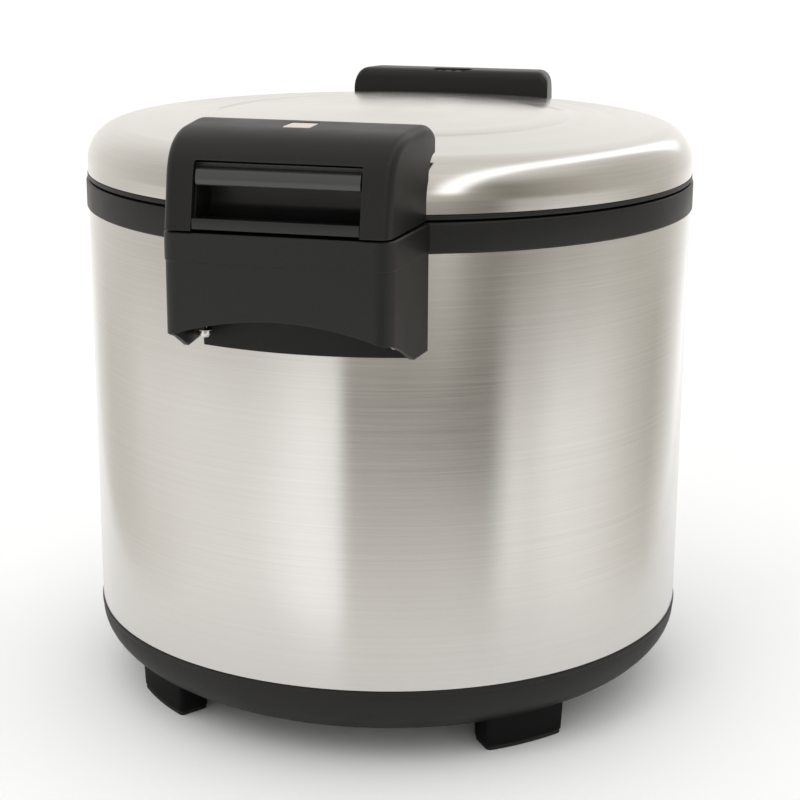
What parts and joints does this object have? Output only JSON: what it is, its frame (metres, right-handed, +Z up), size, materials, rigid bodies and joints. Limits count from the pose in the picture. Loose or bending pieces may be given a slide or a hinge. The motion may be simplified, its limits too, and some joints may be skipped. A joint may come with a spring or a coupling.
{
  "type": "rice cooker",
  "caption": "Upright electric rice cooker: brushed steel drum and hinged domed lid, black base, latch box and carrying handle in front, hinge box behind, lifting pot inside.",
  "frame": {"origin": "on the drum's axis, level with the soles of the feet", "axes": "+Z up along the drum's axis; -Y towards the latch and front handle, +Y towards the hinge; +X to the right as seen from the front; the cooking controls are on -X"},
  "size_m": [0.3892, 0.486, 0.3784],
  "materials": {
    "brushed_steel": "brushed stainless steel, fine hoop-wise grain",
    "sheet_steel": "plain cold-rolled steel sheet",
    "cast_aluminium": "as-cast and faced aluminium",
    "pot_aluminium": "spun aluminium with turning marks",
    "black_plastic": "satin moulded, near black",
    "dark_plastic": "matt moulded, black",
    "rubber": "matt black",
    "silicone": "translucent white silicone",
    "zinc": "bright zinc plated",
    "brass": "plain",
    "heater_foil": "foil on mica",
    "glass_fibre": "felted glass fibre",
    "red_lens": "clear tinted",
    "amber_lens": "clear tinted",
    "label": "blank pale label"
  },
  "bodies": {
    "body": {"base_ring": "black_plastic", "bottom_cover": "sheet_steel", "foot_front_right": "black_plastic", "foot_front_left": "black_plastic", "foot_rear_left": "black_plastic", "foot_rear_right": "black_plastic", "foot_pad_front_right": "rubber", "foot_pad_front_left": "rubber", "foot_pad_rear_left": "rubber", "foot_pad_rear_right": "rubber", "body_shell": "brushed_steel", "top_ring": "black_plastic", "inner_liner": "sheet_steel", "warming_heater": "heater_foil", "insulation_sleeve": "glass_fibre", "hot_plate": "cast_aluminium", "heating_element": "sheet_steel", "heater_stand": "sheet_steel", "thermostat_bracket": "sheet_steel", "thermostat_spring": "zinc", "front_handle": "black_plastic", "front_back_plate": "dark_plastic", "rear_handle": "black_plastic", "rear_back_plate": "dark_plastic", "handle_screw_front_right": "zinc", "handle_screw_front_left": "zinc", "handle_screw_rear_right": "zinc", "handle_screw_rear_left": "zinc", "hinge_bracket": "dark_plastic", "hinge_pin": "zinc", "control_panel": "black_plastic", "switch_block": "dark_plastic", "cook_lamp": "red_lens", "warm_lamp": "amber_lens", "rear_plate": "black_plastic", "power_inlet": "dark_plastic", "inlet_terminals": "brass"},
    "lid": {"lid_shell": "brushed_steel", "lid_frame": "black_plastic", "lid_inner_plate": "sheet_steel", "lid_gasket": "silicone", "inner_plate_knob": "black_plastic", "latch_housing": "black_plastic", "label_plate": "label", "finger_tray": "dark_plastic", "latch_pin_left": "zinc", "latch_pin_right": "zinc", "latch_spring_left": "zinc", "latch_spring_right": "zinc", "hinge_cover": "black_plastic", "steam_vent_cap": "dark_plastic", "hinge_arm": "dark_plastic", "hinge_screw_left": "zinc", "hinge_screw_right": "zinc"},
    "latch": {"latch_lever": "black_plastic"},
    "pot": {"cooking_pot": "pot_aluminium"},
    "sensor": {"thermostat": "cast_aluminium"},
    "lever": {"cook_lever": "black_plastic"}
  },
  "joints": [
    {"name": "lid_hinge", "type": "hinge", "parent": "body", "child": "lid", "pos_m": [0, 0.236, 0.327], "axis": [-1, 0, 0], "range_deg": [0, 95]},
    {"name": "latch_pivot", "type": "hinge", "parent": "lid", "child": "latch", "pos_m": [0, -0.216, 0.34], "axis": [1, 0, 0], "range_deg": [0, 12], "stiffness_Nm_per_rad": 0.4, "springref_deg": -20.05},
    {"name": "pot_turn", "type": "hinge", "parent": "body", "child": "pot", "pos_m": [0, 0, 0.107], "axis": [0, 0, 1], "continuous": true},
    {"name": "sensor_travel", "type": "slide", "parent": "body", "child": "sensor", "axis": [0, 0, 1], "range_m": [-0.003, 0], "stiffness_N_per_m": 600, "springref_m": 0.005, "deforming": ["thermostat_spring"]},
    {"name": "cook_lever_pivot", "type": "hinge", "parent": "body", "child": "lever", "pos_m": [-0.18, 0, 0.101], "axis": [0, -1, 0], "range_deg": [0, 8], "stiffness_Nm_per_rad": 0.05, "springref_deg": -22.92}
  ]
}
